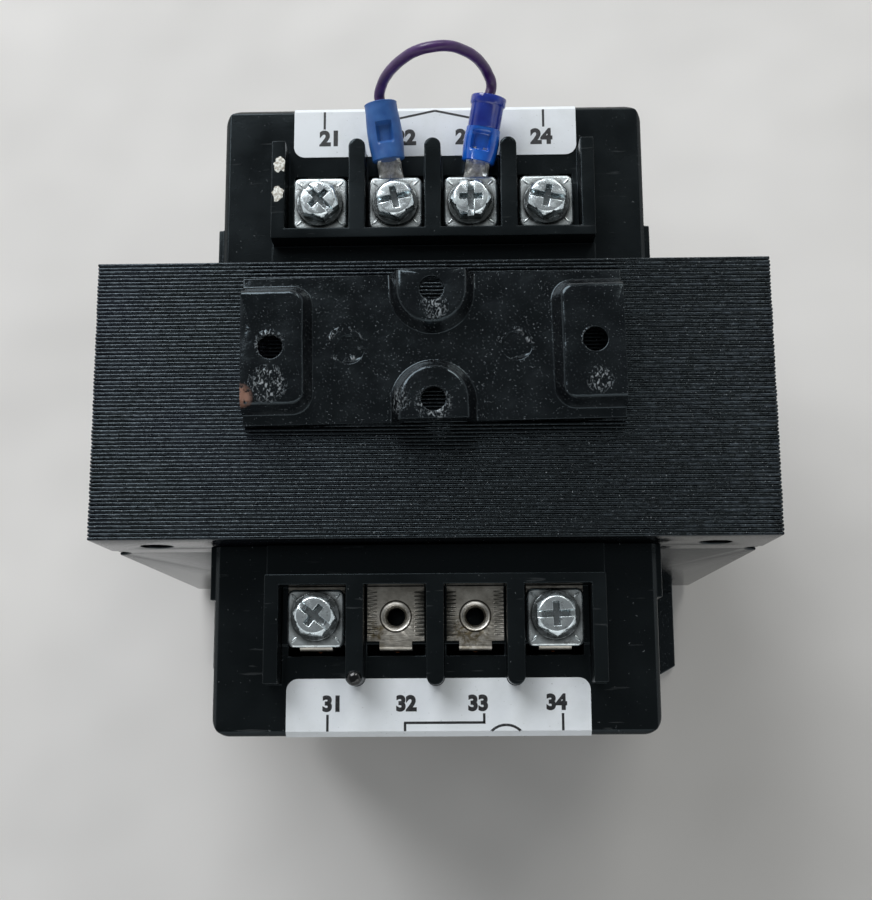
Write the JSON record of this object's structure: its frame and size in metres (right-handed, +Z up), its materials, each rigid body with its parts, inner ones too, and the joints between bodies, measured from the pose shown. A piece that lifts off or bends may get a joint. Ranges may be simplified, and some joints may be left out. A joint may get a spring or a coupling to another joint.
{
  "type": "laminated chassis transformer",
  "caption": "Welded laminated-core control transformer with moulded coil covers, screw terminal blocks, a fuse block bracket on top and slotted mounting feet.",
  "frame": {"origin": "middle of the footprint, on the underside of the mounting feet", "axes": "+Z up, X along the terminal rows, +Y through the stack towards the primary terminals, which carry the jumper"},
  "size_m": [0.115, 0.1151, 0.1095],
  "materials": {
    "laminations": "dark steel sheets under a glossy dip varnish",
    "weld": "dark weld seam under varnish",
    "varnished_steel": "steel under a glossy, speckled dip varnish",
    "bobbin_plastic": "moulded black",
    "magnet_wire": "enamelled copper wire",
    "insulation_paper": "insulating paper",
    "coil_tape": "varnished wrap",
    "cover_plastic": "moulded black, glossy with varnish",
    "terminal_plating": "nickel plated, slightly tarnished",
    "clamp_zinc": "zinc plated",
    "screw_zinc": "zinc plated, slightly blue",
    "lug_tin": "tinned copper",
    "sleeve_matte": "matt blue insulation",
    "sleeve_gloss": "blue insulation with a translucent crimp section",
    "wire_insulation": "purple insulation",
    "label_white": "white film label"
  },
  "bodies": {
    "root": {"e_laminations": "laminations", "i_laminations": "laminations", "core_weld_left": "weld", "core_weld_right": "weld", "mounting_foot_left": "varnished_steel", "mounting_foot_right": "varnished_steel", "fuse_block_bracket": "varnished_steel", "coil_bobbin": "bobbin_plastic", "secondary_winding": "magnet_wire", "winding_insulation": "insulation_paper", "primary_winding": "magnet_wire", "coil_wrap": "coil_tape", "primary_lead_wires": "magnet_wire", "secondary_lead_wires": "magnet_wire", "primary_cover": "cover_plastic", "secondary_cover": "cover_plastic", "primary_terminal_1": "terminal_plating", "secondary_terminal_1": "terminal_plating", "primary_clamp_1": "clamp_zinc", "primary_screw_1": "screw_zinc", "primary_terminal_2": "terminal_plating", "secondary_terminal_2": "terminal_plating", "primary_clamp_2": "clamp_zinc", "primary_screw_2": "screw_zinc", "primary_terminal_3": "terminal_plating", "secondary_terminal_3": "terminal_plating", "primary_clamp_3": "clamp_zinc", "primary_screw_3": "screw_zinc", "primary_terminal_4": "terminal_plating", "secondary_terminal_4": "terminal_plating", "primary_clamp_4": "clamp_zinc", "primary_screw_4": "screw_zinc", "secondary_clamp_1": "clamp_zinc", "secondary_screw_1": "screw_zinc", "secondary_clamp_4": "clamp_zinc", "secondary_screw_4": "screw_zinc", "jumper_lug_left": "lug_tin", "jumper_lug_right": "lug_tin", "jumper_sleeve_left": "sleeve_matte", "jumper_sleeve_right": "sleeve_gloss", "jumper_wire": "wire_insulation", "primary_label": "label_white", "secondary_label": "label_white"}
  },
  "joints": []
}
